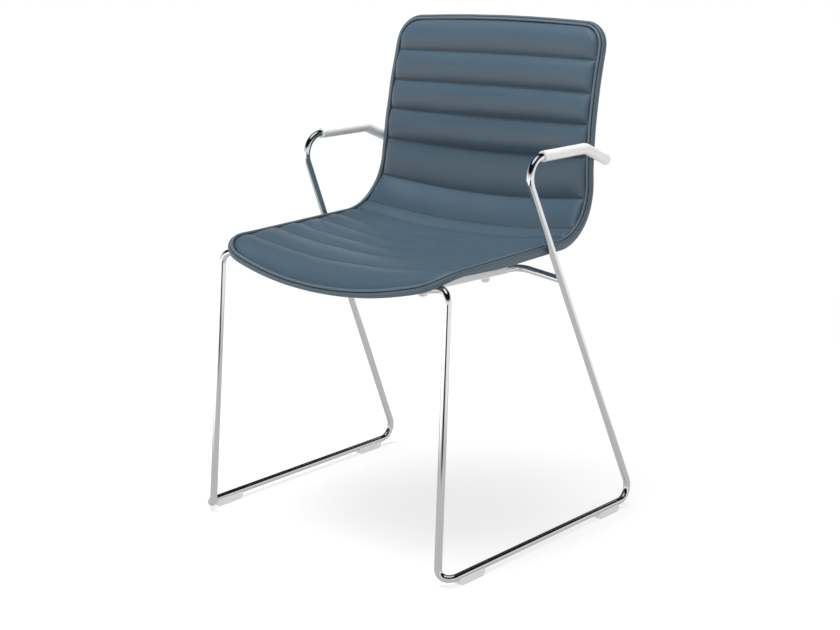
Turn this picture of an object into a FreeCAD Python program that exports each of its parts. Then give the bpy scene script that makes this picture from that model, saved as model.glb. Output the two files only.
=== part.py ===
import FreeCAD, Part
import math
import os

# Sled base visitor chair with arms, in millimetres, +Z up, the sitter facing -Y.
# Lengths along Y are measured from the front feet. At the end everything moves by
# half the depth, so that the origin is the middle of the footprint on the floor.

V = FreeCAD.Vector

# Rod frame, right side, which the left side mirrors
ROD_D = 12.0
REAR_BEND_R = 24.0
RAIL_BEND_R = 14.0
TOE_BEND_R = 14.0
ARM_FRONT_R = 33.0
ARM_REAR_R = 27.0
LEG_TOP_R = 19.0
SEAT_ROD_R = 20.0
RAIL_Z = 13.0
RAIL_FRONT = V(267.7, 11.0, RAIL_Z)
RAIL_REAR = V(272.0, 500.5, RAIL_Z)
LEG_FOOT = V(247.8, 0.0, RAIL_Z)
LEG_TOP = V(240.0, 31.9, 454.0)
SEAT_ROD_FRONT = V(148.0, 60.0, 434.5)
SEAT_ROD_REAR = V(152.0, 326.0, 430.0)
ARM_FRONT = V(237.1, 214.9, 624.2)
ARM_REAR = V(236.9, 384.5, 625.8)
ARM_END = V(236.9, 444.4, 601.6)
WELD_Z = 423.5
CROSS_ROD_D = 10.0
CROSS_ROD_Z = 431.0
CROSS_ROD_YS = {"front": 128.0, "rear": 224.0}

# Floor glides, clipped under the rails and pegged into them
GLIDE_L = 60.0
GLIDE_W = 15.0
GLIDE_TOP_Z = 12.0
GLIDE_END_CUT = 5.0
GLIDE_MID_YS = {"front": 51.5, "rear": 421.5}
PEG_D = 4.0
PEG_TOP_Z = 16.0

# Arm pads, sleeves over the arm rods
PAD_D = 17.5
PAD_START_Y = 268.0
PAD_OVERHANG = 4.0

# Carriers between the seat rods and the shell, with stacking bumpers below
CARRIER_YS = (76.0, 285.0)
CARRIER_W = 15.0
CARRIER_DOWN = 5.4
CARRIER_EDGE_CUT = 2.0
CARRIER_UP = 6.5
BOSS_YS = (98.0, 268.0)
BOSS_INWARD = 22.0
BOSS_LENGTH = 24.0
BUMPER_YS = {"front": 84.0, "rear": 237.0}
BUMPER_SIZE = (9.0, 10.0, 8.0)
BUMPER_EDGE_R = 2.0
SCREW_D = 6.0
SCREW_L = 25.0
SCREW_HEAD_D = 12.0
SCREW_HEAD_H = 3.5
INSERT_D = 10.0
INSERT_DEPTH = 6.0
INSERT_COVER = 1.2

# Moulded shell: side profile, dish across the width and outline
LIP_R = 105.0
LIP_START_Y = 9.0
SEAT_FRONT_Y = 80.0
SEAT_FRONT_Z = 455.5
SEAT_SLOPE = math.radians(1.3)
SEAT_REAR_Y = 325.0
LUMBAR_R = 115.0
BACK_R = 960.0
BACK_TOP_Z = 818.0
DISH_POWER = 2.1
FRONT_EDGE = 2.0
FRONT_CORNER_R = 44.0
FRONT_BOW = 21.0
TOP_CORNER_R = 41.0
TOP_BOW = -5.0
CORNER_STEPS = 5
SIDE_STEPS = 20

# Channelled cushion: widths of the sewn channels from the front edge up, the last taking the rest
CHANNEL_WIDTHS = (68, 70, 52, 53, 50, 54, 35, 62, 74, 59, 55, 55)
CHANNEL_END_CROWN = 4.0
CUSHION_UNDER = 3.0

# Layers behind the cushion, and the band that wraps the rim. Lifts are at full depth.
CORE_FRONT = 3.3
CORE_BACK = 11.3
COVER_FRONT = 11.6
COVER_BACK = 14.6
CORE_MARGIN = 5.5
BAND_SECTION = ((1.0, 0.3), (5.0, 1.2), (8.6, -1.5), (10.0, -7.0), (9.0, -14.6), (7.4, -14.6),
                (7.4, -2.9), (1.0, -2.9))

CLEARANCE = 0.1
WELD_BITE = 3.0
UP = V(0, 0, 1)
ACROSS = V(1, 0, 0)


# Bent rods

def bent_path(points, radii):
    """A wire of straight runs joined by tangent arcs, one radius for each inner point."""
    edges = []
    start = points[0]
    for before, corner, after, radius in zip(points, points[1:], points[2:], radii):
        back = (before - corner).normalize()
        onward = (after - corner).normalize()
        half_turn = (math.pi - back.getAngle(onward)) / 2
        trim = radius * math.tan(half_turn)
        bisector = (back + onward).normalize()
        crown = corner + bisector * (radius / math.cos(half_turn) - radius)
        arc_start = corner + back * trim
        arc_end = corner + onward * trim
        edges.append(Part.LineSegment(start, arc_start).toShape())
        edges.append(Part.Arc(arc_start, crown, arc_end).toShape())
        start = arc_end
    edges.append(Part.LineSegment(start, points[-1]).toShape())
    return Part.Wire(edges)


def rod(points, radii, diameter):
    """A round rod along a bent path."""
    path = bent_path(points, radii)
    start_direction = points[1] - points[0]
    circle = Part.Circle(points[0], start_direction, diameter / 2).toShape()
    return path.makePipeShell([Part.Wire([circle])], True, False)


def between(a, b, share):
    """The point at a share of the way from a to b."""
    return a + (b - a) * share


def mirrored(shape):
    """The left-hand twin of a right-hand shape."""
    return shape.mirror(V(0, 0, 0), ACROSS)


def both_sides(name, shape):
    """The two mirrored pieces under their own names."""
    return {name + "_right": shape, name + "_left": mirrored(shape)}


def rear_leg_point(z):
    """The point of the rear leg's axis at a height."""
    share = (z - RAIL_REAR.z) / (ARM_FRONT.z - RAIL_REAR.z)
    return between(RAIL_REAR, ARM_FRONT, share)


def seat_rod_point(y):
    """The point of the seat rod's straight run at a depth."""
    share = (y - SEAT_ROD_FRONT.y) / (SEAT_ROD_REAR.y - SEAT_ROD_FRONT.y)
    return between(SEAT_ROD_FRONT, SEAT_ROD_REAR, share)


def rail_point(y):
    """The point of the floor rail's axis at a depth."""
    return between(RAIL_FRONT, RAIL_REAR, (y - RAIL_FRONT.y) / (RAIL_REAR.y - RAIL_FRONT.y))


def side_frame():
    """One rod from the arm's end round the sled to the seat, welded back to the rear leg."""
    weld = rear_leg_point(WELD_Z)
    split = seat_rod_point(200.0)
    main = rod(
        [ARM_END, ARM_REAR, ARM_FRONT, RAIL_REAR, RAIL_FRONT, LEG_FOOT, LEG_TOP, SEAT_ROD_FRONT, split],
        [ARM_REAR_R, ARM_FRONT_R, REAR_BEND_R, RAIL_BEND_R, TOE_BEND_R, LEG_TOP_R, SEAT_ROD_R],
        ROD_D,
    )
    inward = (SEAT_ROD_REAR - weld).normalize()
    tail_end = weld + inward * (ROD_D / 2 - WELD_BITE)
    tail = rod([split, SEAT_ROD_REAR, tail_end], [SEAT_ROD_R], ROD_D)
    frame = main.fuse(tail)
    for y in GLIDE_MID_YS.values():
        foot = rail_point(y)
        hole = Part.makeCylinder(PEG_D / 2, PEG_TOP_Z + 1.0, V(foot.x, foot.y, 0), UP)
        frame = frame.cut(hole)
    return frame


def cross_rod(y, frames):
    """A straight rod between the seat rods, coped to fit against them."""
    end = seat_rod_point(y)
    bar = Part.makeCylinder(CROSS_ROD_D / 2, 2 * end.x, V(-end.x, y, CROSS_ROD_Z), ACROSS)
    for frame in frames:
        bar = bar.cut(frame)
    return max(bar.Solids, key=lambda solid: solid.Volume)


def glide(y_mid):
    """A plastic glide under a rail, hollowed to its round and pegged into its hole."""
    axis = rail_point(y_mid)
    along = (RAIL_REAR - RAIL_FRONT).normalize()
    side_view = [
        V(0, -GLIDE_L / 2 + GLIDE_END_CUT, 0),
        V(0, GLIDE_L / 2 - GLIDE_END_CUT, 0),
        V(0, GLIDE_L / 2, GLIDE_END_CUT),
        V(0, GLIDE_L / 2, GLIDE_TOP_Z),
        V(0, -GLIDE_L / 2, GLIDE_TOP_Z),
        V(0, -GLIDE_L / 2, GLIDE_END_CUT),
    ]
    face = Part.Face(Part.makePolygon(side_view + side_view[:1]))
    body = face.extrude(V(GLIDE_W, 0, 0))
    body.translate(V(-GLIDE_W / 2, 0, 0))
    body.rotate(V(0, 0, 0), UP, -math.degrees(math.atan2(along.x, along.y)))
    body.translate(V(axis.x, y_mid, 0))
    bed = Part.makeCylinder(ROD_D / 2 + CLEARANCE, 2 * GLIDE_L, axis - along * GLIDE_L, along)
    peg = Part.makeCylinder(PEG_D / 2 - CLEARANCE, PEG_TOP_Z - 3.0, V(axis.x, y_mid, 3.0), UP)
    return body.cut(bed).fuse(peg).removeSplitter()


def arm_pad():
    """A sleeve over the arm rod with a closed, rounded end behind it."""
    start = between(ARM_FRONT, ARM_REAR, (PAD_START_Y - ARM_FRONT.y) / (ARM_REAR.y - ARM_FRONT.y))
    out = (ARM_END - ARM_REAR).normalize()
    tip = ARM_END + out * PAD_OVERHANG
    sleeve = rod([start, ARM_REAR, tip], [ARM_REAR_R], PAD_D)
    cap_edges = [edge for edge in sleeve.Edges if edge.CenterOfMass.distanceToPoint(tip) < 1.0]
    sleeve = sleeve.makeFillet(2.5, cap_edges)
    bore = rod([start - V(0, 1, 0), ARM_REAR, ARM_END], [ARM_REAR_R], ROD_D + 2 * CLEARANCE)
    return sleeve.cut(bore)


# The shell's surface, a place on it being x across and s along the side profile

LIP_ANGLE = math.asin((SEAT_FRONT_Y - LIP_START_Y) / LIP_R)
LIP_END = LIP_R * LIP_ANGLE
SEAT_END = LIP_END + (SEAT_REAR_Y - SEAT_FRONT_Y) / math.cos(SEAT_SLOPE)
LUMBAR_END = SEAT_END + LUMBAR_R * (math.pi / 2 - SEAT_SLOPE)
SEAT_REAR_Z = SEAT_FRONT_Z + (SEAT_REAR_Y - SEAT_FRONT_Y) * math.tan(SEAT_SLOPE)
LUMBAR_Y = SEAT_REAR_Y - LUMBAR_R * math.sin(SEAT_SLOPE)
LUMBAR_Z = SEAT_REAR_Z + LUMBAR_R * math.cos(SEAT_SLOPE)
TOTAL = LUMBAR_END + BACK_R * math.asin((BACK_TOP_Z - LUMBAR_Z) / BACK_R)
MID_BACK = LUMBAR_END + 90.0

DISH = ((0, 22.0), (LIP_END, 18.0), (SEAT_END, 20.0), (LUMBAR_END, 20.0), (TOTAL, 3.0))
HALF_WIDTH = (
    (0, 230.0),
    (SEAT_END, 229.0),
    ((SEAT_END + LUMBAR_END) / 2, 225.5),
    (LUMBAR_END, 218.0),
    (MID_BACK, 214.0),
    (TOTAL, 211.0),
)
SEAM_BOW = (
    (FRONT_EDGE, FRONT_BOW),
    (LIP_END, 12.0),
    (140, 7.0),
    (192, 5.0),
    (SEAT_END, 0.0),
    (385, 0.0),
    (445, 10.0),
    (520, 10.0),
    (580, 3.0),
    (635, -2.0),
    (TOTAL, TOP_BOW),
)

# Crown of the channels, and the share of the shell's full depth along its ends and its middle
CHANNEL_CROWN = ((LIP_END, 4.5), (SEAT_END, 5.0), (LUMBAR_END, 8.0), (TOTAL, 9.0))
END_DEPTH = (
    (FRONT_EDGE, 0.55),
    (FRONT_EDGE + FRONT_BOW, 0.4),
    (FRONT_EDGE + FRONT_BOW + FRONT_CORNER_R / 2, 0.36),
    (LIP_END + 10, 0.6),
    (160, 1.0),
    (SEAT_END, 1.0),
    ((SEAT_END + LUMBAR_END) / 2, 0.72),
    (LUMBAR_END, 0.6),
)
MIDDLE_DEPTH = (
    (FRONT_EDGE, 0.55),
    (160, 1.0),
    (LUMBAR_END, 1.0),
    (TOTAL, 0.6),
)


def ramp(table, s):
    """A value read off straight lines between (s, value) pairs, held beyond the ends."""
    if s <= table[0][0]:
        return table[0][1]
    for (s0, v0), (s1, v1) in zip(table, table[1:]):
        if s <= s1:
            return v0 + (v1 - v0) * (s - s0) / (s1 - s0)
    return table[-1][1]


def profile(s):
    """The side profile's point (y, z) and its slope angle at a length along it."""
    if s < LIP_END:
        angle = LIP_ANGLE - s / LIP_R
        y = SEAT_FRONT_Y - LIP_R * math.sin(angle)
        z = SEAT_FRONT_Z - LIP_R * (1 - math.cos(angle))
    elif s < SEAT_END:
        angle = SEAT_SLOPE
        y = SEAT_FRONT_Y + (s - LIP_END) * math.cos(angle)
        z = SEAT_FRONT_Z + (s - LIP_END) * math.sin(angle)
    elif s < LUMBAR_END:
        angle = SEAT_SLOPE + (s - SEAT_END) / LUMBAR_R
        y = LUMBAR_Y + LUMBAR_R * math.sin(angle)
        z = LUMBAR_Z - LUMBAR_R * math.cos(angle)
    else:
        turn = (s - LUMBAR_END) / BACK_R
        angle = math.pi / 2 - turn
        y = LUMBAR_Y + LUMBAR_R + BACK_R * (1 - math.cos(turn))
        z = LUMBAR_Z + BACK_R * math.sin(turn)
    return y, z, angle


def surface(x, s, lift=0.0):
    """The shell's point at x, s, raised above the seam level by lift."""
    y, z, angle = profile(s)
    rise = ramp(DISH, s) * (abs(x) / ramp(HALF_WIDTH, s)) ** DISH_POWER + lift
    return V(x, y - math.sin(angle) * rise, z + math.cos(angle) * rise)


def edge_half_width(s, margin):
    """Half the outline's width at s, round corners included, for an outline grown by a margin."""
    half = ramp(HALF_WIDTH, s)
    for corner_s, radius, sign in (
        (FRONT_EDGE + FRONT_BOW + FRONT_CORNER_R, FRONT_CORNER_R, 1),
        (TOTAL + TOP_BOW - TOP_CORNER_R, TOP_CORNER_R, -1),
    ):
        into = sign * (corner_s - s)
        if into > 0:
            reach = max((radius + margin) ** 2 - into ** 2, 0.0)
            return half - radius + math.sqrt(reach)
    return half + margin


def tapered(lift, share):
    """A lift with the depth below the core's front face taken at a share."""
    if lift > -CORE_FRONT:
        return lift
    return -CORE_FRONT + (lift + CORE_FRONT) * share


def seam_lengths():
    """Where the cushion's seams cross the middle, with its two ends."""
    places = [FRONT_EDGE]
    for width in CHANNEL_WIDTHS:
        places.append(places[-1] + width)
    return places + [TOTAL]


def stations():
    """Pairs of s along the middle and crown share, fine enough for each channel's bulge."""
    seams = seam_lengths()
    result = []
    for index, (start, end) in enumerate(zip(seams, seams[1:])):
        shares = [0.0, 0.22, 0.5, 0.78]
        if index == 0:
            shares = [0.0, 0.06, 0.2, 0.5, 0.8]
        if index == len(seams) - 2:
            shares = [0.0, 0.22, 0.5, 0.8, 0.94]
        for share in shares:
            crown = math.sin(math.pi * share) ** 0.6
            result.append((start + share * (end - start), crown))
    return result + [(TOTAL, 0.0)]


def cross_section(s, margin, front, back):
    """A ring of edges across the shell: front arc, right end, back arc, left end.

    front and back are each a pair, the lift at the middle and at the ends, at full depth.
    """
    s_end = s + ramp(SEAM_BOW, s)
    half = edge_half_width(s_end, margin)
    arcs = []
    for middle_lift, end_lift in (front, back):
        end_lift = tapered(end_lift, ramp(END_DEPTH, s_end))
        middle = surface(0.0, s, tapered(middle_lift, ramp(MIDDLE_DEPTH, s)))
        arcs.append((surface(-half, s_end, end_lift), middle, surface(half, s_end, end_lift)))
    (left_front, middle_front, right_front), (left_back, middle_back, right_back) = arcs
    return [
        Part.Arc(left_front, middle_front, right_front).toShape(),
        Part.LineSegment(right_front, right_back).toShape(),
        Part.Arc(left_back, middle_back, right_back).toShape(),
        Part.LineSegment(left_front, left_back).toShape(),
    ]


def closed_solid(faces):
    """One outward-facing solid sewn from the faces that close round it."""
    shell = Part.makeShell(faces)
    shell.sewShape()
    solid = Part.makeSolid(shell)
    if solid.Volume < 0:
        solid.reverse()
    return solid


def lofted(rings):
    """A solid of ruled faces through rings of edges, closed by a ruled face at each end."""
    faces = []
    for ring, following in zip(rings, rings[1:]):
        for near, far in zip(ring, following):
            faces.append(Part.makeRuledSurface(near, far))
    for ring in (rings[0], rings[-1]):
        faces.append(Part.makeRuledSurface(ring[0], ring[2]))
    return closed_solid(faces)


def layer(margin, front_lift, back_lift):
    """A layer of the shell, thinner towards its rim, its outline grown by a margin."""
    places = [FRONT_EDGE - margin] + [s for s, crown in stations()] + [TOTAL + margin]
    return lofted([cross_section(s, margin, (front_lift,) * 2, (back_lift,) * 2) for s in places])


def cushion():
    """The padded front panel, swelling between its seams and drawn down along its edge."""
    rings = []
    for s, crown in stations():
        front = (crown * ramp(CHANNEL_CROWN, s), crown * CHANNEL_END_CROWN)
        rings.append(cross_section(s, 0.0, front, (-CUSHION_UNDER,) * 2))
    return lofted(rings)


def half_outline():
    """Points (x, s) and outward directions round the right half, from front to top middle."""
    rows = []
    corner_x = ramp(HALF_WIDTH, 0) - FRONT_CORNER_R
    corner_s = FRONT_EDGE + FRONT_BOW + FRONT_CORNER_R
    for share in (0.0, 0.3, 0.55, 0.8):
        rows.append((corner_x * share, FRONT_EDGE + FRONT_BOW * share ** 2, 0.0, -1.0))
    turns = [math.pi / 2 * step / CORNER_STEPS for step in range(CORNER_STEPS + 1)]
    for turn in turns:
        out_x = math.sin(turn)
        out_s = -math.cos(turn)
        rows.append((corner_x + FRONT_CORNER_R * out_x, corner_s + FRONT_CORNER_R * out_s, out_x, out_s))
    top_corner_s = TOTAL + TOP_BOW - TOP_CORNER_R
    for step in range(1, SIDE_STEPS):
        s = corner_s + (top_corner_s - corner_s) * step / SIDE_STEPS
        rows.append((ramp(HALF_WIDTH, s), s, 1.0, 0.0))
    top_x = ramp(HALF_WIDTH, TOTAL) - TOP_CORNER_R
    for turn in turns:
        out_x = math.cos(turn)
        out_s = math.sin(turn)
        rows.append((top_x + TOP_CORNER_R * out_x, top_corner_s + TOP_CORNER_R * out_s, out_x, out_s))
    for share in (0.75, 0.4, 0.0):
        rows.append((top_x * share, TOTAL + TOP_BOW * share ** 2, 0.0, 1.0))
    return rows


def band_point(row, out, lift):
    """A point of the rim band, out from the cushion's edge and lifted above it."""
    x, s, out_x, out_s = row
    return surface(x + out * out_x, s + out * out_s, tapered(lift, ramp(END_DEPTH, s)))


def rim_band():
    """The sewn border band, a closed ring of ruled faces round the shell's rim."""
    right = half_outline()
    left = [(-x, s, -out_x, out_s) for x, s, out_x, out_s in right[-2:0:-1]]
    rings = []
    for row in right + left:
        corners = [band_point(row, out, lift) for out, lift in BAND_SECTION]
        rings.append([
            Part.LineSegment(start, end).toShape()
            for start, end in zip(corners, corners[1:] + corners[:1])
        ])
    faces = []
    for ring, following in zip(rings, rings[1:] + rings[:1]):
        for near, far in zip(ring, following):
            faces.append(Part.makeRuledSurface(near, far))
    return closed_solid(faces)


def carrier(below_shell, rods):
    """A plastic channel clipped over the seat rod, with two screw bosses up to the shell."""
    front_y, rear_y = CARRIER_YS
    start = seat_rod_point(front_y)
    end = seat_rod_point(rear_y)
    along = end - start
    half = CARRIER_W / 2
    outline = [
        V(-half, 0, CARRIER_UP),
        V(-half, 0, -CARRIER_DOWN + CARRIER_EDGE_CUT),
        V(-half + CARRIER_EDGE_CUT, 0, -CARRIER_DOWN),
        V(half - CARRIER_EDGE_CUT, 0, -CARRIER_DOWN),
        V(half, 0, -CARRIER_DOWN + CARRIER_EDGE_CUT),
        V(half, 0, CARRIER_UP),
    ]
    face = Part.Face(Part.makePolygon(outline + outline[:1]))
    face.translate(start)
    body = face.extrude(along)
    for y in BOSS_YS:
        at = seat_rod_point(y)
        corner = V(at.x - half - BOSS_INWARD, y - BOSS_LENGTH / 2, screw_foot(y).z)
        boss = Part.makeBox(BOSS_INWARD + half - 1.0, BOSS_LENGTH, 24.0, corner)
        body = body.fuse(boss)
    channel = Part.makeCylinder(ROD_D / 2 + CLEARANCE, along.Length, start, along)
    body = body.cut(channel).cut(below_shell)
    for bar in rods:
        body = body.cut(bar)
    for y in BOSS_YS:
        foot = screw_foot(y)
        body = body.cut(Part.makeCylinder(SCREW_D / 2 + CLEARANCE, 40.0, foot, UP))
    return max(body.Solids, key=lambda solid: solid.Volume)


def screw_foot(y):
    """The centre of a boss's lower face, where its screw enters, a screw's length down."""
    at = seat_rod_point(y)
    x = at.x - CARRIER_W / 2 - BOSS_INWARD / 2
    insert_top = surface(x, s_at_depth(y), -CORE_FRONT - INSERT_COVER)
    return V(x, y, insert_top.z - SCREW_L)


def screws():
    """The four screws, heads under the bosses and threads up in the shell's inserts."""
    solids = []
    for y in BOSS_YS:
        foot = screw_foot(y)
        head = Part.makeCylinder(SCREW_HEAD_D / 2, SCREW_HEAD_H, foot - UP * SCREW_HEAD_H, UP)
        shank = Part.makeCylinder(SCREW_D / 2, SCREW_L - 1.0, foot, UP)
        socket = Part.makeCylinder(2.0, 2.0, foot - UP * SCREW_HEAD_H, UP)
        screw = head.fuse(shank).cut(socket).removeSplitter()
        solids += [screw, mirrored(screw)]
    return Part.makeCompound(solids)


def insert_blank(y, diameter):
    """A cylinder where a threaded insert sits in the core."""
    base = screw_foot(y) + UP * (SCREW_L - INSERT_DEPTH)
    return Part.makeCylinder(diameter / 2, INSERT_DEPTH, base, UP)


def s_at_depth(y):
    """The length along the seat's profile at a depth on its flat part."""
    return LIP_END + (y - SEAT_FRONT_Y) / math.cos(SEAT_SLOPE)


def inserts():
    """The four threaded inserts pressed into the shell's core."""
    solids = []
    for y in BOSS_YS:
        ring = insert_blank(y, INSERT_D)
        foot = screw_foot(y)
        ring = ring.cut(Part.makeCylinder(SCREW_D / 2 + CLEARANCE, 60.0, foot, UP))
        solids += [ring, mirrored(ring)]
    return Part.makeCompound(solids)


def with_screw_holes(shape, diameter):
    """A layer with a clear hole at each screw."""
    for y in BOSS_YS:
        foot = screw_foot(y)
        hole = Part.makeCylinder(diameter / 2, SCREW_L, foot, UP)
        shape = shape.cut(hole).cut(mirrored(hole))
    return shape


def with_insert_seats(shape):
    """The core with its insert seats cut from below."""
    for y in BOSS_YS:
        seat = Part.makeCylinder(INSERT_D / 2 + CLEARANCE, SCREW_L, screw_foot(y), UP)
        shape = shape.cut(seat).cut(mirrored(seat))
    return shape


def bumper(y, holder):
    """A stacking bumper under a carrier, grooved for the rod, its lower edges eased."""
    at = seat_rod_point(y)
    width, length, height = BUMPER_SIZE
    corner = V(at.x - width / 2, y - length / 2, at.z - CARRIER_DOWN - height)
    block = Part.makeBox(width, length, height, corner)
    lower = [edge for edge in block.Edges if abs(edge.CenterOfMass.z - corner.z) < 0.01]
    along = seat_rod_point(y + length) - seat_rod_point(y - length)
    start = seat_rod_point(y - length)
    groove = Part.makeCylinder(ROD_D / 2 + CLEARANCE, along.Length, start, along)
    return block.makeFillet(BUMPER_EDGE_R, lower).cut(groove).cut(holder)


def build():
    """Every piece under its node's name."""
    pieces = {}
    frame = side_frame()
    frames = both_sides("side_frame", frame)
    pieces.update(frames)
    for name, y in CROSS_ROD_YS.items():
        pieces["cross_rod_" + name] = cross_rod(y, frames.values())
    for name, y in GLIDE_MID_YS.items():
        pieces.update(both_sides("glide_" + name, glide(y)))
    pieces.update(both_sides("arm_pad", arm_pad()))
    pieces["cushion"] = cushion()
    pieces["shell_core"] = with_insert_seats(layer(CORE_MARGIN, -CORE_FRONT, -CORE_BACK))
    pieces["rear_cover"] = with_screw_holes(layer(CORE_MARGIN, -COVER_FRONT, -COVER_BACK), INSERT_D)
    pieces["rim_band"] = rim_band()
    above = layer(CORE_MARGIN, 30.0, -COVER_BACK - CLEARANCE)
    rods = [frame, pieces["cross_rod_front"], pieces["cross_rod_rear"]]
    holder = carrier(above, rods)
    pieces.update(both_sides("seat_carrier", holder))
    for name, y in BUMPER_YS.items():
        pieces.update(both_sides("stacking_bumper_" + name, bumper(y, holder)))
    pieces["carrier_screws"] = screws()
    pieces["shell_inserts"] = inserts()
    return pieces


def main():
    """Builds the chair, centres it on its footprint and writes one file for each node."""
    os.makedirs("parts", exist_ok=True)
    pieces = build()
    whole = Part.makeCompound(list(pieces.values())).BoundBox
    middle = V(0, -(whole.YMin + whole.YMax) / 2, 0)
    for name, shape in pieces.items():
        shape.translate(middle)
        shape.exportStep("parts/" + name + ".step")
        box = shape.BoundBox
        print("%-26s solids %d valid %s volume %9.0f z %.1f to %.1f" % (
            name, len(shape.Solids), shape.isValid(), shape.Volume, box.ZMin, box.ZMax))
    print("size %.1f x %.1f x %.1f, moved by %.2f" % (whole.XLength, whole.YLength, whole.ZLength, middle.y))


main()
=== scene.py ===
"""Looks of a sled base visitor chair: channel-sewn leather shell on a chromed rod frame."""

import logging
import math
from dataclasses import dataclass, field
from enum import Enum

import bpy
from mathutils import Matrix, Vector, noise


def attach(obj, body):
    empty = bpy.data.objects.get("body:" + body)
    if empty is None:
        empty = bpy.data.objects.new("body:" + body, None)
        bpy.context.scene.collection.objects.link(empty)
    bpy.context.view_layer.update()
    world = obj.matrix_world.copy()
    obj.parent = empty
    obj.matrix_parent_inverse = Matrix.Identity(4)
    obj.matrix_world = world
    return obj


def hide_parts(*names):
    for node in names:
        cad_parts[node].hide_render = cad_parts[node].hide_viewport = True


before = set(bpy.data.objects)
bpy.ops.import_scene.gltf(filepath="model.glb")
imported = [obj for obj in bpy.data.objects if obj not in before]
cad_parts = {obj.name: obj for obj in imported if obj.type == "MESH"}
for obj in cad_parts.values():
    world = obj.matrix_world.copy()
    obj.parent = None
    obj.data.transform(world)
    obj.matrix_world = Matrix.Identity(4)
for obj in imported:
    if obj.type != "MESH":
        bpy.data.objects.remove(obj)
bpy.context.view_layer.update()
LOG = logging.getLogger("chair")

Pair = tuple[float, float]
Table = tuple[Pair, ...]
Colour = tuple[float, float, float]
Faces = list[tuple[int, ...]]
Socket = bpy.types.NodeSocket
Tree = bpy.types.ShaderNodeTree


class Ray(Enum):
    """What a ray is, as the Light Path node names it."""

    CAMERA = "Is Camera Ray"
    GLOSSY = "Is Glossy Ray"


# Shell surface


def ramp(table: Table, s: float) -> float:
    """Reads a value off straight lines between pairs.

    Args:
        table: (place, value) pairs in rising order of place.
        s: The place to read at.

    Returns:
        The value at s, held beyond both ends.
    """
    if s <= table[0][0]:
        return table[0][1]
    for (s0, v0), (s1, v1) in zip(table, table[1:]):
        if s <= s1:
            return v0 + (v1 - v0) * (s - s0) / (s1 - s0)
    return table[-1][1]


def eased(table: Table, s: float, reach: float = 14.0) -> float:
    """Reads a table with its kinks rounded off.

    Args:
        table: (place, value) pairs in rising order of place.
        s: The place to read at.
        reach: How far to each side the reading is averaged.

    Returns:
        The mean of the table's values about s.
    """
    steps = (-1.0, -0.6, -0.2, 0.2, 0.6, 1.0)
    return sum(ramp(table, s + reach * step) for step in steps) / len(steps)


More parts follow.
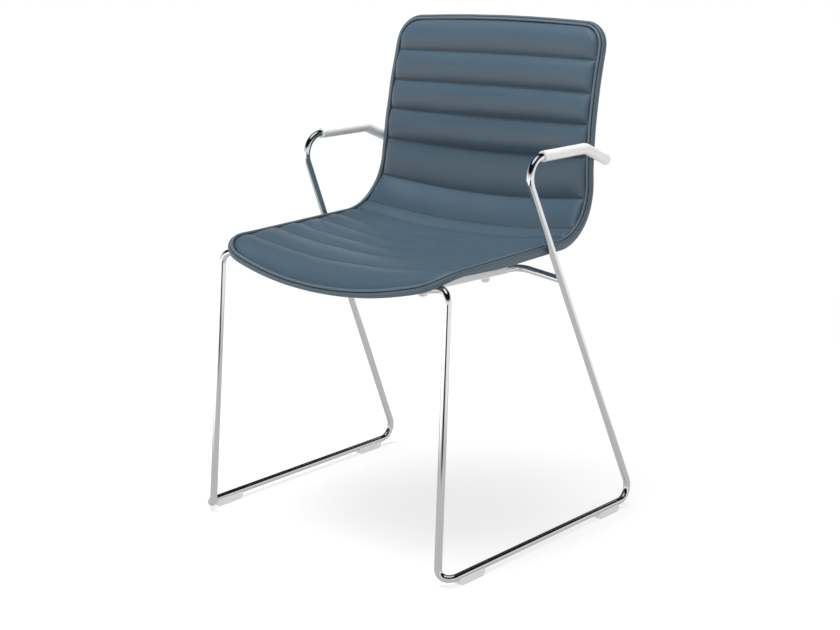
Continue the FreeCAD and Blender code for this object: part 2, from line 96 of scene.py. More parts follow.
@dataclass(frozen=True)
class ShellForm:
    """The moulded shell's surface in millimetres, a place on it being x across and s along.

    The side profile is a lip arc, a straight seat, a lumbar arc and a long back arc, and the
    shell dishes across its width.
    """

    shift_y: float = -243.92
    lip_radius: float = 105.0
    lip_start_y: float = 9.0
    seat_front_y: float = 80.0
    seat_front_z: float = 455.5
    seat_slope: float = math.radians(1.3)
    seat_rear_y: float = 325.0
    lumbar_radius: float = 115.0
    back_radius: float = 960.0
    top_z: float = 818.0
    dish_power: float = 2.1
    front_edge: float = 2.0
    front_corner: float = 44.0
    front_bow: float = 21.0
    top_corner: float = 36.0
    top_bow: float = -5.0
    core_front: float = 3.3

    @property
    def lip_angle(self) -> float:
        """The slope at the front edge of the side profile."""
        return math.asin((self.seat_front_y - self.lip_start_y) / self.lip_radius)

    @property
    def lip_end(self) -> float:
        """The length along the profile where the lip arc ends."""
        return self.lip_radius * self.lip_angle

    @property
    def seat_end(self) -> float:
        """The length along the profile where the seat ends."""
        return self.lip_end + (self.seat_rear_y - self.seat_front_y) / math.cos(self.seat_slope)

    @property
    def lumbar_end(self) -> float:
        """The length along the profile where the lumbar arc ends."""
        return self.seat_end + self.lumbar_radius * (math.pi / 2 - self.seat_slope)

    @property
    def lumbar_centre(self) -> Pair:
        """The lumbar arc's centre (y, z)."""
        rise = (self.seat_rear_y - self.seat_front_y) * math.tan(self.seat_slope)
        y = self.seat_rear_y - self.lumbar_radius * math.sin(self.seat_slope)
        return y, self.seat_front_z + rise + self.lumbar_radius * math.cos(self.seat_slope)

    @property
    def total(self) -> float:
        """The whole profile's length."""
        climb = (self.top_z - self.lumbar_centre[1]) / self.back_radius
        return self.lumbar_end + self.back_radius * math.asin(climb)

    @property
    def dish(self) -> Table:
        """How far the side edges stand above the middle."""
        return ((0.0, 22.0), (self.lip_end, 18.0), (self.seat_end, 20.0),
                (self.lumbar_end, 20.0), (self.total, 3.0))

    @property
    def half_width(self) -> Table:
        """Half the cushion's width without its corners."""
        middle = (self.seat_end + self.lumbar_end) / 2
        return ((0.0, 230.0), (self.seat_end, 229.0), (middle, 225.5), (self.lumbar_end, 218.0),
                (self.lumbar_end + 90.0, 214.0), (self.total, 211.0))

    @property
    def bow(self) -> Table:
        """How much further along a seam's ends lie than its middle."""
        return ((self.front_edge, self.front_bow), (self.lip_end, 12.0), (140.0, 7.0), (192.0, 5.0),
                (self.seat_end, 0.0), (385.0, 0.0), (445.0, 10.0), (520.0, 10.0), (580.0, 3.0),
                (635.0, -2.0), (self.total, self.top_bow))

    @property
    def end_depth(self) -> Table:
        """The share of the shell's full depth along its rim."""
        corner = self.front_edge + self.front_bow
        middle = (self.seat_end + self.lumbar_end) / 2
        return ((self.front_edge, 0.55), (corner, 0.66), (corner + 12.0, 0.57),
                (corner + self.front_corner / 2, 0.5), (corner + self.front_corner, 0.51),
                (self.lip_end + 10.0, 0.6), (160.0, 1.0), (self.seat_end, 1.0), (middle, 0.72),
                (self.lumbar_end, 0.6))

    @property
    def middle_depth(self) -> Table:
        """The share of the shell's full depth along its middle."""
        return ((self.front_edge, 0.55), (160.0, 1.0), (self.lumbar_end, 1.0), (self.total, 0.6))

    @property
    def front_lean(self) -> float:
        """The turn of the front edge where it meets its round corners."""
        half = eased(self.half_width, 0.0) - self.front_corner
        return math.atan(2 * self.front_bow / half)

    def profile(self, s: float) -> tuple[float, float, float]:
        """Follows the side profile.

        Args:
            s: The length along it.

        Returns:
            The point's y and z and the slope angle there.
        """
        centre_y, centre_z = self.lumbar_centre
        if s < self.lip_end:
            angle = self.lip_angle - s / self.lip_radius
            y = self.seat_front_y - self.lip_radius * math.sin(angle)
            z = self.seat_front_z - self.lip_radius * (1 - math.cos(angle))
        elif s < self.seat_end:
            angle = self.seat_slope
            y = self.seat_front_y + (s - self.lip_end) * math.cos(angle)
            z = self.seat_front_z + (s - self.lip_end) * math.sin(angle)
        elif s < self.lumbar_end:
            angle = self.seat_slope + (s - self.seat_end) / self.lumbar_radius
            y = centre_y + self.lumbar_radius * math.sin(angle)
            z = centre_z - self.lumbar_radius * math.cos(angle)
        else:
            turn = (s - self.lumbar_end) / self.back_radius
            angle = math.pi / 2 - turn
            y = centre_y + self.lumbar_radius + self.back_radius * (1 - math.cos(turn))
            z = centre_z + self.back_radius * math.sin(turn)
        return y, z, angle

    def point(self, x: float, s: float, lift: float = 0.0) -> Vector:
        """Finds a place on the shell, in metres and in the part's frame.

        Args:
            x: The place across the shell.
            s: The place along it.
            lift: The height above the seam level.

        Returns:
            The point.
        """
        y, z, angle = self.profile(s)
        share = abs(x) / eased(self.half_width, s)
        rise = eased(self.dish, s) * share ** self.dish_power + lift
        spot = Vector((x, y - math.sin(angle) * rise + self.shift_y, z + math.cos(angle) * rise))
        return spot / 1000.0

    def edge(self, s: float, margin: float = 0.0) -> float:
        """Finds half the outline's width.

        Args:
            s: The length along the profile at the outline itself.
            margin: How far the outline is grown.

        Returns:
            Half the width, round corners included.
        """
        half = eased(self.half_width, s)
        front = self.front_edge + self.front_bow + self.front_corner
        top = self.total + self.top_bow - self.top_corner
        for into, radius, lean in ((front - s, self.front_corner, self.front_lean),
                                   (s - top, self.top_corner, 0.0)):
            if into > 0:
                grown = radius + margin
                share = min(into / grown, 1.0) * math.cos(lean)
                reach = (math.sqrt(1.0 - share ** 2) - math.sin(lean)) / (1.0 - math.sin(lean))
                return half - radius + grown * reach
        return half + margin

    def tapered(self, lift: float, share: float) -> float:
        """Thins the shell below the core's front face.

        Args:
            lift: The lift at full depth.
            share: The share of the full depth there.

        Returns:
            The lift.
        """
        if lift > -self.core_front:
            return lift
        return -self.core_front + (lift + self.core_front) * share

    def outline(self, step: float) -> list[tuple[float, float, float, float]]:
        """Walks round the cushion's edge.

        Args:
            step: The distance between the points.

        Returns:
            Rows of x, s and the outward direction (x, s), anticlockwise from the front middle.
        """
        rows = []
        corner_x = eased(self.half_width, 0.0) - self.front_corner
        corner_s = self.front_edge + self.front_bow + self.front_corner
        lean = self.front_lean
        top_s = self.total + self.top_bow - self.top_corner
        top_x = eased(self.half_width, top_s + self.top_corner / 2) - self.top_corner
        count = round(corner_x / step)
        for index in range(count):
            share = index / count
            rows.append((corner_x * share, self.front_edge + self.front_bow * share ** 2,
                         math.sin(lean * share), -math.cos(lean * share)))
        count = round(self.front_corner * math.pi / 2 / step)
        for index in range(count):
            turn = lean + (math.pi / 2 - lean) * index / count
            across = (math.sin(turn) - math.sin(lean)) / (1.0 - math.sin(lean))
            rows.append((corner_x + self.front_corner * across,
                         corner_s - self.front_corner * math.cos(turn) / math.cos(lean),
                         math.sin(turn), -math.cos(turn)))
        count = round((top_s - corner_s) / step)
        for index in range(count):
            s = corner_s + (top_s - corner_s) * index / count
            rows.append((eased(self.half_width, s), s, 1.0, 0.0))
        count = round(self.top_corner * math.pi / 2 / step)
        for index in range(count):
            turn = math.pi / 2 * index / count
            rows.append((top_x + self.top_corner * math.cos(turn),
                         top_s + self.top_corner * math.sin(turn), math.cos(turn), math.sin(turn)))
        count = round(top_x / step)
        for index in range(count + 1):
            share = 1.0 - index / count
            rows.append((top_x * share, self.total + self.top_bow * share ** 2, 0.0, 1.0))
        mirrored = [(-x, s, -out_x, out_s) for x, s, out_x, out_s in rows[-2:0:-1]]
        return rows + mirrored


# Mesh helpers


def new_object(name: str, points: list[Vector], faces: Faces) -> bpy.types.Object:
    """Makes a smooth-shaded mesh object.

    Args:
        name: The piece's name.
        points: Its vertices in metres.
        faces: Its faces as vertex numbers.

    Returns:
        The object, linked into the scene.
    """
    mesh = bpy.data.meshes.new(name)
    mesh.from_pydata([tuple(point) for point in points], [], faces)
    mesh.shade_smooth()
    mesh.update()
    piece = bpy.data.objects.new(name, mesh)
    bpy.context.scene.collection.objects.link(piece)
    return piece


def grid_faces(rows: int, columns: int, start: int = 0, flip: bool = False) -> Faces:
    """Lists the quads of a grid of vertices stored row by row.

    Args:
        rows: The number of rows.
        columns: The number of vertices in a row.
        start: The first vertex's number.
        flip: Whether the faces turn the other way.

    Returns:
        The faces.
    """
    faces = []
    for row in range(rows - 1):
        for column in range(columns - 1):
            a = start + row * columns + column
            quad = (a, a + 1, a + columns + 1, a + columns)
            faces.append(quad[::-1] if flip else quad)
    return faces


def sheet_faces(rows: int, columns: int, flip: bool = False) -> Faces:
    """Lists the faces of a closed sheet: one grid of vertices, its far side and the border between.

    Args:
        rows: The number of rows in a grid.
        columns: The number of vertices in a row.
        flip: Whether the faces turn the other way.

    Returns:
        The faces.
    """
    count = rows * columns
    faces = grid_faces(rows, columns, 0, flip) + grid_faces(rows, columns, count, not flip)
    border = list(range(columns))
    border += [row * columns + columns - 1 for row in range(1, rows)]
    border += [(rows - 1) * columns + column for column in range(columns - 2, -1, -1)]
    border += [row * columns for row in range(rows - 2, 0, -1)]
    for a, b in zip(border, border[1:] + border[:1]):
        faces.append((a, b, b + count, a + count) if flip else (b, a, a + count, b + count))
    return faces


def ring_faces(rings: int, count: int) -> Faces:
    """Lists the quads of closed sections in a closed loop.

    Args:
        rings: The number of sections.
        count: The number of vertices in a section.

    Returns:
        The faces.
    """
    faces = []
    for ring in range(rings):
        for index in range(count):
            after = (index + 1) % count
            near = ring * count
            far = (ring + 1) % rings * count
            faces.append((near + index, far + index, far + after, near + after))
    return faces


def place(piece: bpy.types.Object, material: bpy.types.Material, *nodes: str) -> None:
    """Dresses a new leather piece, fixes it to the chair and hides the nodes it stands for.

    Args:
        piece: The piece.
        material: Its finish.
        nodes: The CAD nodes it stands for.
    """
    piece.data.materials.append(material)
    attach(piece, "root")
    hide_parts(*nodes)
    LOG.info("%s: %d vertices", piece.name, len(piece.data.vertices))


# Node groups and finishes


@dataclass
class GroupMaker:
    """Builds a shader node group with named inputs and outputs."""

    name: str
    tree: Tree = field(init=False)
    source: bpy.types.Node = field(init=False)
    sink: bpy.types.Node = field(init=False)

    def __post_init__(self) -> None:
        """Makes the empty group and its two end nodes."""
        self.tree = bpy.data.node_groups.new(self.name, "ShaderNodeTree")
        self.source = self.tree.nodes.new("NodeGroupInput")
        self.sink = self.tree.nodes.new("NodeGroupOutput")

    def takes(self, name: str, default: float | Colour) -> None:
        """Adds an input, a number or a colour as its default is."""
        coloured = isinstance(default, tuple)
        kind = "NodeSocketColor" if coloured else "NodeSocketFloat"
        socket = self.tree.interface.new_socket(name, in_out="INPUT", socket_type=kind)
        socket.default_value = (*default, 1.0) if coloured else default

    def out(self, name: str, value: Socket, kind: str = "NodeSocketFloat") -> None:
        """Adds an output of a kind and feeds it."""
        self.tree.interface.new_socket(name, in_out="OUTPUT", socket_type=kind)
        self.tree.links.new(value, self.sink.inputs[name])

    def node(self, kind: str, **values: object) -> bpy.types.Node:
        """Adds a node and sets its properties.

        Args:
            kind: The node's type.
            values: Its properties by name.

        Returns:
            The node.
        """
        made = self.tree.nodes.new(kind)
        for key, value in values.items():
            setattr(made, key, value)
        return made

    def link(self, value: object, target: Socket) -> None:
        """Feeds an input with a number or with an output."""
        if isinstance(value, float):
            target.default_value = value
        else:
            self.tree.links.new(value, target)

    def math(self, operation: str, a: object, b: object = 0.0) -> Socket:
        """Adds a math node on two numbers or sockets.

        Args:
            operation: The node's operation.
            a: The first number or socket.
            b: The second number or socket.

        Returns:
            The result's socket.
        """
        made = self.node("ShaderNodeMath", operation=operation)
        self.link(a, made.inputs[0])
        self.link(b, made.inputs[1])
        return made.outputs[0]

    def spread(self, value: Socket, low: float, high: float) -> Socket:
        """Maps a range of a value smoothly to 0 to 1.

        Args:
            value: The value.
            low: What becomes 0.
            high: What becomes 1.

        Returns:
            The mapped value.
        """
        made = self.node("ShaderNodeMapRange", interpolation_type="SMOOTHSTEP")
        self.link(value, made.inputs["Value"])
        self.link(low, made.inputs["From Min"])
        self.link(high, made.inputs["From Max"])
        return made.outputs[0]

    def position(self) -> Socket:
        """Gives the place in the part's own frame."""
        return self.node("ShaderNodeTexCoord").outputs["Object"]

    def noise(self, scale: object, detail: float, roughness: float = 0.5) -> Socket:
        """Adds a noise on the part's own frame.

        Args:
            scale: Its scale, a number or a socket.
            detail: Its number of octaves.
            roughness: How strong the fine octaves are.

        Returns:
            The noise's value.
        """
        made = self.node("ShaderNodeTexNoise")
        self.link(self.position(), made.inputs["Vector"])
        for name, value in (("Scale", scale), ("Detail", detail), ("Roughness", roughness)):
            self.link(value, made.inputs[name])
        return made.outputs["Fac"]


def grain_group() -> Tree:
    """Builds the pebbled grain of leather and moulded plastic.

    Returns:
        A group that gives a height and a crease mask.
    """
    maker = GroupMaker("pebble_grain")
    maker.takes("Pebble", 900.0)
    maker.takes("Crease", 0.6)
    warp = maker.node("ShaderNodeVectorMath", operation="MULTIPLY_ADD")
    swirl = maker.node("ShaderNodeTexNoise")
    maker.link(maker.position(), swirl.inputs["Vector"])
    maker.link(260.0, swirl.inputs["Scale"])
    maker.link(2.0, swirl.inputs["Detail"])
    maker.link(swirl.outputs["Color"], warp.inputs[0])
    warp.inputs[1].default_value = (0.0016, 0.0016, 0.0016)
    maker.link(maker.position(), warp.inputs[2])
    cells = maker.node("ShaderNodeTexVoronoi", feature="DISTANCE_TO_EDGE")
    maker.link(warp.outputs[0], cells.inputs["Vector"])
    maker.link(maker.source.outputs["Pebble"], cells.inputs["Scale"])
    rise = maker.spread(cells.outputs["Distance"], 0.0, 0.22)
    pores = maker.noise(2600.0, 2.0)
    height = maker.math("MULTIPLY", rise, maker.source.outputs["Crease"])
    height = maker.math("ADD", height, maker.math("MULTIPLY", pores, 0.35))
    maker.out("Height", height)
    maker.out("Creases", maker.math("SUBTRACT", 1.0, rise))
    return maker.tree


def wear_and_shade_group() -> Tree:
    """Builds the lightening along raised edges and the painted shade in hollows.

    Returns:
        A group that gives an edge mask and a mask for the painted shade in hollows.
    """
    maker = GroupMaker("edge_wear")
    maker.takes("Edge width", 0.1)
    maker.takes("Breakup", 60.0)
    bend = maker.node("ShaderNodeNewGeometry").outputs["Pointiness"]
    patches = maker.noise(maker.source.outputs["Breakup"], 4.0, 0.6)
    broken = maker.math("ADD", patches, 0.5)
    flat = 0.5
    # The first mask lightens raised edges; the second darkens hollows as painted shade.
    for name, sign in (("Edges", 1.0), ("Painted shade", -1.0)):
        offset = maker.math("MULTIPLY", maker.math("SUBTRACT", bend, flat), sign)
        clipped = maker.node("ShaderNodeClamp")
        maker.link(maker.math("DIVIDE", offset, maker.source.outputs["Edge width"]), clipped.inputs[0])
        maker.out(name, maker.math("MULTIPLY", clipped.outputs[0], broken))
    return maker.tree


def mottle_group() -> Tree:
    """Builds slow variation of colour and gloss over a surface.

    Returns:
        A group that gives a colour and a roughness.
    """
    maker = GroupMaker("mottle")
    maker.takes("Colour", (0.5, 0.5, 0.5))
    maker.takes("Depth", 0.1)
    maker.takes("Patch", 14.0)
    maker.takes("Roughness", 0.4)
    maker.takes("Gloss change", 0.1)
    slow = maker.noise(maker.source.outputs["Patch"], 3.0, 0.55)
    fine = maker.noise(420.0, 2.0, 0.5)
    swing = maker.math("SUBTRACT", maker.math("ADD", slow, fine), 1.0)
    gain = maker.math("ADD", maker.math("MULTIPLY", swing, maker.source.outputs["Depth"]), 1.0)
    scaled = maker.node("ShaderNodeVectorMath", operation="SCALE")
    maker.link(maker.source.outputs["Colour"], scaled.inputs[0])
    maker.link(gain, scaled.inputs["Scale"])
    maker.out("Colour", scaled.outputs[0], "NodeSocketColor")
    gloss = maker.math("MULTIPLY", swing, maker.source.outputs["Gloss change"])
    maker.out("Roughness", maker.math("ADD", gloss, maker.source.outputs["Roughness"]))
    return maker.tree


def scratch_group() -> Tree:
    """Builds the drawn grain and smears of polished metal.

    Returns:
        A group that gives a roughness and a height.
    """
    maker = GroupMaker("polish_marks")
    maker.takes("Roughness", 0.05)
    maker.takes("Smear", 0.05)
    smears = maker.math("MULTIPLY", maker.noise(30.0, 4.0, 0.65), maker.source.outputs["Smear"])
    maker.out("Roughness", maker.math("ADD", smears, maker.source.outputs["Roughness"]))
    maker.out("Height", maker.noise(1500.0, 3.0, 0.6))
    return maker.tree


@dataclass(frozen=True)
class FloorGlow:
    """The floor's glow: even to the eye, with bright sides and a dark front in reflections.

    Distances are in metres from the chair's middle. Each side has its gain and where it rises.
    """

    azimuth: float
    below_chair: float = 0.66
    far_gain: float = 0.36
    far: Pair = (1.0, 2.2)
    albedo: float = 0.36
    mirrored: float = 0.58
    left: tuple[float, float, float] = (0.75, 0.7, 1.2)
    right: tuple[float, float, float] = (0.4, 0.7, 1.2)
    dark: float = 0.95
    dark_from: Pair = (1.05, 1.35)
    dark_slope: float = 0.3
    dark_side: float = 0.05
    dark_blur: float = 0.08

    def group(self) -> Tree:
        """Builds the node group.

        Returns:
            A group that gives the floor's glow and its albedo.
        """
        maker = GroupMaker("floor_glow")
        turn = math.radians(self.azimuth)
        split = maker.node("ShaderNodeSeparateXYZ")
        maker.link(maker.position(), split.inputs[0])
        x, y = split.outputs["X"], split.outputs["Y"]
        near = maker.math("SUBTRACT", maker.math("MULTIPLY", x, math.sin(turn)),
                          maker.math("MULTIPLY", y, math.cos(turn)))
        side = maker.math("ADD", maker.math("MULTIPLY", x, math.cos(turn)),
                          maker.math("MULTIPLY", y, math.sin(turn)))
        wedge = maker.math("SUBTRACT", maker.math("MULTIPLY", near, self.dark_slope),
                           maker.math("ABSOLUTE", maker.math("SUBTRACT", side, self.dark_side)))
        dark = maker.math("MULTIPLY", maker.spread(wedge, -self.dark_blur, self.dark_blur),
                          maker.spread(near, *self.dark_from))
        square = maker.math("ADD", maker.math("MULTIPLY", x, x), maker.math("MULTIPLY", y, y))
        away = maker.math("SQRT", square)
        far = maker.spread(away, *self.far)
        even = maker.math("ADD", self.below_chair, maker.math("MULTIPLY", far, self.far_gain))
        lit = self.mirrored
        for sign, (gain, low, high) in ((-1.0, self.left), (1.0, self.right)):
            rise = maker.spread(maker.math("MULTIPLY", side, sign), low, high)
            lit = maker.math("ADD", lit, maker.math("MULTIPLY", rise, gain))
        kept = maker.math("SUBTRACT", 1.0, maker.math("MULTIPLY", dark, self.dark))
        metal = maker.node("ShaderNodeLightPath").outputs[Ray.GLOSSY.value]
        plain = maker.math("SUBTRACT", 1.0, metal)
        maker.out("Glow", maker.math(
            "ADD", maker.math("MULTIPLY", even, plain),
            maker.math("MULTIPLY", maker.math("MULTIPLY", lit, kept), metal)))
        maker.out("Albedo", maker.math(
            "MULTIPLY", maker.math("SUBTRACT", 1.0, far), maker.math("MULTIPLY", plain, self.albedo)))
        return maker.tree


@dataclass
class Workshop:
    """The shared node groups, each built once."""

    grain: Tree = field(default_factory=grain_group)
    wear_and_shade: Tree = field(default_factory=wear_and_shade_group)
    mottle: Tree = field(default_factory=mottle_group)
    scratch: Tree = field(default_factory=scratch_group)


@dataclass
class Recipe:
    """A material under construction."""

    name: str
    tree: Tree = field(init=False)
    shader: bpy.types.Node = field(init=False)
    material: bpy.types.Material = field(init=False)

    def __post_init__(self) -> None:
        """Makes the material with its Principled shader."""
        self.material = bpy.data.materials.new(self.name)
        self.material.use_nodes = True
        self.tree = self.material.node_tree
        self.shader = next(node for node in self.tree.nodes if node.type == "BSDF_PRINCIPLED")

    def group(self, tree: Tree, **values: object) -> bpy.types.Node:
        """Places a shared group with its own values, underscores standing for spaces."""
        made = self.tree.nodes.new("ShaderNodeGroup")
        made.node_tree = tree
        for key, value in values.items():
            made.inputs[key.replace("_", " ")].default_value = value
        return made

    def link(self, value: Socket, name: str) -> None:
        """Feeds a socket of the Principled shader."""
        self.tree.links.new(value, self.shader.inputs[name])

    def set(self, name: str, value: object) -> None:
        """Sets a socket of the Principled shader."""
        self.shader.inputs[name].default_value = value

    def bump(self, height: Socket, distance: float, strength: float) -> None:
        """Raises the surface by a height map.

        Args:
            height: The height from 0 to 1.
            distance: The full height in metres.
            strength: How much of it shows.
        """
        made = self.tree.nodes.new("ShaderNodeBump")
        made.inputs["Distance"].default_value = distance
        made.inputs["Strength"].default_value = strength
        self.tree.links.new(height, made.inputs["Height"])
        self.link(made.outputs["Normal"], "Normal")

    def tinted(self, base: Socket, mask: Socket, tint: Colour, share: float) -> Socket:
        """Mixes a tint into a colour where a mask says.

        Args:
            base: The colour below.
            mask: Where the tint goes.
            tint: The tint.
            share: The most of it that shows.

        Returns:
            The mixed colour.
        """
        scale = self.tree.nodes.new("ShaderNodeMath")
        scale.operation = "MULTIPLY"
        scale.use_clamp = True
        self.tree.links.new(mask, scale.inputs[0])
        scale.inputs[1].default_value = share
        mix = self.tree.nodes.new("ShaderNodeMix")
        mix.data_type = "RGBA"
        self.tree.links.new(scale.outputs[0], mix.inputs[0])
        self.tree.links.new(base, mix.inputs[6])
        mix.inputs[7].default_value = (*tint, 1.0)
        return mix.outputs[2]


@dataclass(frozen=True)
class Leather:
    """Semi-aniline cowhide, satin, with fine pebble grain."""

    name: str = "slate_leather"
    colour: Colour = (0.047, 0.078, 0.107)
    roughness: float = 0.36
    crease_tint: Colour = (0.03, 0.045, 0.06)
    worn_tint: Colour = (0.13, 0.17, 0.2)
    # The hollow tint is painted shade: the colour darkened in hollows such as seams.
    painted_hollow_shade: Colour = (0.012, 0.018, 0.025)

    def make(self, shop: Workshop) -> bpy.types.Material:
        """Builds the material from the shared groups and returns it."""
        recipe = Recipe(self.name)
        mottle = recipe.group(shop.mottle, Colour=(*self.colour, 1.0), Depth=0.16, Patch=9.0,
                              Roughness=self.roughness, Gloss_change=0.12)
        grain = recipe.group(shop.grain, Pebble=620.0, Crease=0.7)
        wear_and_shade = recipe.group(shop.wear_and_shade, Edge_width=0.12, Breakup=45.0)
        colour = recipe.tinted(mottle.outputs["Colour"], grain.outputs["Creases"], self.crease_tint, 0.25)
        colour = recipe.tinted(colour, wear_and_shade.outputs["Edges"], self.worn_tint, 0.3)
        # Painted shade: hollows such as the seams are darkened in the colour.
        colour = recipe.tinted(colour, wear_and_shade.outputs["Painted shade"], self.painted_hollow_shade, 0.6)
        recipe.link(colour, "Base Color")
        recipe.link(mottle.outputs["Roughness"], "Roughness")
        recipe.set("Specular IOR Level", 0.5)
        recipe.set("Sheen Weight", 0.02)
        recipe.set("Sheen Roughness", 0.4)
        recipe.bump(grain.outputs["Height"], 0.00025, 0.35)
        return recipe.material


@dataclass(frozen=True)
class Metal:
    """Plated steel with fine marks."""

    name: str
    colour: Colour
    roughness: float
    smear: float
    depth: float
    patch: float
    mark_height: float
    mark_share: float

    def make(self, shop: Workshop) -> bpy.types.Material:
        """Builds the material from the shared groups and returns it."""
        recipe = Recipe(self.name)
        mottle = recipe.group(shop.mottle, Colour=(*self.colour, 1.0), Depth=self.depth,
                              Patch=self.patch)
        marks = recipe.group(shop.scratch, Roughness=self.roughness, Smear=self.smear)
        recipe.link(mottle.outputs["Colour"], "Base Color")
        recipe.link(marks.outputs["Roughness"], "Roughness")
        recipe.set("Metallic", 1.0)
        recipe.bump(marks.outputs["Height"], self.mark_height, self.mark_share)
        return recipe.material


@dataclass(frozen=True)
class MouldedPlastic:
    """Moulded plastic with a spark-eroded texture."""

    name: str = "grey_plastic"
    colour: Colour = (0.66, 0.66, 0.65)
    roughness: float = 0.42
    grain: float = 1500.0
    edge_tint: Colour = (0.75, 0.75, 0.75)

    def make(self, shop: Workshop) -> bpy.types.Material:
        """Builds the material from the shared groups and returns it."""
        recipe = Recipe(self.name)
        mottle = recipe.group(shop.mottle, Colour=(*self.colour, 1.0), Depth=0.05, Patch=30.0,
                              Roughness=self.roughness, Gloss_change=0.08)
        grain = recipe.group(shop.grain, Pebble=self.grain, Crease=0.3)
        wear_and_shade = recipe.group(shop.wear_and_shade, Edge_width=0.15, Breakup=120.0)
        colour = recipe.tinted(mottle.outputs["Colour"], wear_and_shade.outputs["Edges"], self.edge_tint, 0.3)
        recipe.link(colour, "Base Color")
        recipe.link(mottle.outputs["Roughness"], "Roughness")
        recipe.bump(grain.outputs["Height"], 0.0001, 0.2)
        return recipe.material


@dataclass
class Finishes:
    """Every material of the chair."""

    shop: Workshop = field(default_factory=Workshop)

    def __post_init__(self) -> None:
        """Builds the materials once."""
        self.leather = Leather().make(self.shop)
        # The piping is the cushion's own leather painted lighter: a painted highlight along the bead.
        self.piping_with_painted_highlight = Leather("piping_leather_painted_highlight", (0.085, 0.118, 0.145), 0.34).make(self.shop)
        self.band = Leather("band_leather", (0.06, 0.088, 0.112), 0.38).make(self.shop)
        self.chrome = Metal("bright_chrome", (0.78, 0.79, 0.8), roughness=0.06, smear=0.04, depth=0.03,
                            patch=25.0, mark_height=0.00002, mark_share=0.05).make(self.shop)
        self.plastic = MouldedPlastic().make(self.shop)
        self.arm = MouldedPlastic("arm_pad_plastic", (0.72, 0.72, 0.71), 0.28).make(self.shop)
        self.core = MouldedPlastic("core_polymer", (0.03, 0.03, 0.034), 0.5,
                                   edge_tint=(0.1, 0.1, 0.1)).make(self.shop)
        self.steel = Metal("zinc_steel", (0.55, 0.55, 0.54), roughness=0.25, smear=0.2, depth=0.15,
                           patch=90.0, mark_height=0.00003, mark_share=0.2).make(self.shop)

    def dress(self, node: str, material: bpy.types.Material) -> None:
        """Gives a CAD node its finish."""
        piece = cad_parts[node]
        if not piece.material_slots:
            piece.data.materials.append(material)
        for slot in piece.material_slots:
            slot.material = material
        LOG.info("%s: %s", node, material.name)


# Sub-assemblies


@dataclass
class ClothPanel:
    """Leather laid over foam: a cloth simulation held along the seams and the edge."""

    frames: int = 14
    quality: int = 5
    mass: float = 0.002
    pressure: float = 160.0
    stretch: float = 12.0
    bend: float = 0.4
    furthest: float = 0.012

    def relax(self, start: list[Vector], slack: list[Vector], held: list[int],
              faces: Faces) -> list[Vector]:
        """Lets the panel settle under the foam's pressure.

        Args:
            start: The vertices to start from, in metres.
            slack: The same vertices where no thread is stretched.
            held: The vertices sewn down.
            faces: The panel's faces.

        Returns:
            The settled vertices, or the first ones where the panel ran away.
        """
        scene = bpy.context.scene
        piece = new_object("cloth_panel", start, faces)
        piece.shape_key_add(name="sewn")
        key = piece.shape_key_add(name="slack")
        for index, point in enumerate(slack):
            key.data[index].co = point
        group = piece.vertex_groups.new(name="held")
        group.add(held, 1.0, "REPLACE")
        cloth = piece.modifiers.new("cloth", "CLOTH")
        settings = cloth.settings
        settings.rest_shape_key = key
        settings.vertex_group_mass = group.name
        settings.quality = self.quality
        settings.mass = self.mass
        settings.tension_stiffness = self.stretch
        settings.compression_stiffness = self.stretch
        settings.shear_stiffness = self.stretch / 2
        settings.bending_stiffness = self.bend
        settings.use_pressure = True
        settings.uniform_pressure_force = self.pressure
        settings.effector_weights.gravity = 0.0
        cloth.collision_settings.use_collision = False
        cloth.point_cache.frame_start = 1
        cloth.point_cache.frame_end = self.frames
        for number in range(1, self.frames + 1):
            scene.frame_set(number)
        shaped = piece.evaluated_get(bpy.context.evaluated_depsgraph_get())
        settled = [vertex.co.copy() for vertex in shaped.data.vertices]
        scene.frame_set(1)
        bpy.data.objects.remove(piece)
        worst = max((after - before).length for after, before in zip(settled, start))
        LOG.info("cloth settled, furthest move %.2f mm", worst * 1000.0)
        if not worst < self.furthest:
            LOG.warning("the cloth ran away, so the sewn form stays")
            return start
        return settled


